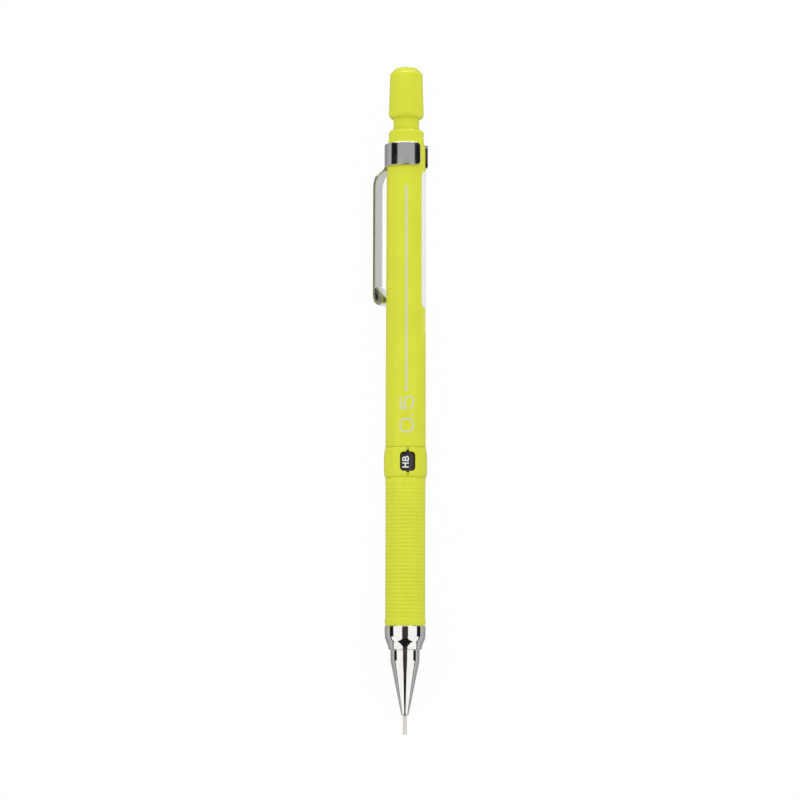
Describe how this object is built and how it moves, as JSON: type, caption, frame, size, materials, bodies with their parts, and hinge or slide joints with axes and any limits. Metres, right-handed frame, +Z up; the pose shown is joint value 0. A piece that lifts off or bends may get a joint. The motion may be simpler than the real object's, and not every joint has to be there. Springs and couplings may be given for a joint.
{
  "type": "lead holder",
  "caption": "Lime green push-button lead holder for fine leads, with guide pipe, chrome tip cone, ribbed grip, turning grade ring and steel pocket clip.",
  "frame": {"origin": "centre of the guide pipe's free end, the writing tip", "axes": "+X runs along the axis from the writing tip to the push cap, +Z is up, towards the printed side and the window of the grade ring, and +Y is the clip's side"},
  "size_m": [0.143, 0.0119, 0.0094],
  "materials": {
    "barrel_plastic": "smooth moulded lime green plastic with a soft gloss",
    "ring_plastic": "moulded lime green plastic",
    "cap_plastic": "moulded lime green plastic",
    "band_film": "black printed film",
    "label_film": "blank white label",
    "clip_steel": "bright nickel plated spring steel",
    "tip_chrome": "polished chrome on turned metal",
    "pipe_steel": "drawn stainless tube",
    "rubber": "soft black rubber",
    "graphite": "polymer graphite lead",
    "chuck_brass": "machined brass",
    "sleeve_plastic": "natural white plastic",
    "spring_steel": "spring wire",
    "eraser_rubber": "white vinyl eraser"
  },
  "bodies": {
    "barrel": {"barrel": "barrel_plastic", "grade_band": "band_film", "side_label": "label_film", "clip_band": "clip_steel", "chuck_sleeve": "sleeve_plastic", "return_spring": "spring_steel"},
    "window_ring": {"window_ring": "ring_plastic"},
    "clip_arm": {"clip_arm": "clip_steel"},
    "push_button": {"eraser_holder": "cap_plastic", "lead_tank": "sleeve_plastic", "tank_joint": "sleeve_plastic", "chuck_stem": "chuck_brass", "eraser": "eraser_rubber", "spare_leads": "graphite"},
    "push_cap": {"push_cap": "cap_plastic"},
    "chuck_ring": {"chuck_ring": "chuck_brass"},
    "chuck_jaw_1": {"chuck_jaw_1": "chuck_brass"},
    "chuck_jaw_2": {"chuck_jaw_2": "chuck_brass"},
    "chuck_jaw_3": {"chuck_jaw_3": "chuck_brass"},
    "working_lead": {"working_lead": "graphite"},
    "tip_bush": {"lead_retainer": "rubber"},
    "tip": {"tip_cone": "tip_chrome", "guide_pipe": "pipe_steel"}
  },
  "joints": [
    {"name": "knock", "type": "slide", "parent": "barrel", "child": "push_button", "axis": [-1, 0, 0], "range_m": [0, 0.0024], "stiffness_N_per_m": 1200, "springref_m": -0.0005, "deforming": ["return_spring"]},
    {"name": "cap_pull", "type": "slide", "parent": "push_button", "child": "push_cap", "axis": [1, 0, 0], "range_m": [0, 0.01]},
    {"name": "ring_follow", "type": "slide", "parent": "barrel", "child": "chuck_ring", "axis": [-1, 0, 0], "range_m": [0, 0.0005]},
    {"name": "jaw_1_open", "type": "hinge", "parent": "push_button", "child": "chuck_jaw_1", "pos_m": [0.0203, 0, 0.00095], "axis": [0, 1, 0], "range_deg": [0, 1.2]},
    {"name": "jaw_2_open", "type": "hinge", "parent": "push_button", "child": "chuck_jaw_2", "pos_m": [0.0203, 0.00082, -0.00047], "axis": [0, -0.5, -0.866], "range_deg": [0, 1.2]},
    {"name": "jaw_3_open", "type": "hinge", "parent": "push_button", "child": "chuck_jaw_3", "pos_m": [0.0203, -0.00082, -0.00047], "axis": [0, -0.5, 0.866], "range_deg": [0, 1.2]},
    {"name": "lead_feed", "type": "slide", "parent": "barrel", "child": "working_lead", "axis": [-1, 0, 0], "range_m": [0, 0.0465]},
    {"name": "tip_travel", "type": "slide", "parent": "barrel", "child": "tip_bush", "axis": [-1, 0, 0], "range_m": [0, 0.00544]},
    {"name": "tip_turn", "type": "hinge", "parent": "tip_bush", "child": "tip", "pos_m": [0.015, 0, 0], "axis": [-1, 0, 0], "range_deg": [0, 2610]},
    {"name": "grade_turn", "type": "hinge", "parent": "barrel", "child": "window_ring", "pos_m": [0.0577, 0, 0], "axis": [1, 0, 0], "continuous": true},
    {"name": "clip_lift", "type": "hinge", "parent": "barrel", "child": "clip_arm", "pos_m": [0.1207, 0.00458, -0.00185], "axis": [0, -0.3746, -0.9272], "range_deg": [0, 6], "stiffness_Nm_per_rad": 1.1, "springref_deg": -0.29}
  ],
  "couplings": [
    {"joint": "ring_follow", "follows": "knock", "ratio": 0.20833},
    {"joint": "jaw_1_open", "follows": "knock", "rad_per_m": 8.7258},
    {"joint": "jaw_2_open", "follows": "knock", "rad_per_m": 8.7258},
    {"joint": "jaw_3_open", "follows": "knock", "rad_per_m": 8.7258},
    {"joint": "tip_turn", "follows": "tip_travel", "rad_per_m": 8377.6}
  ]
}
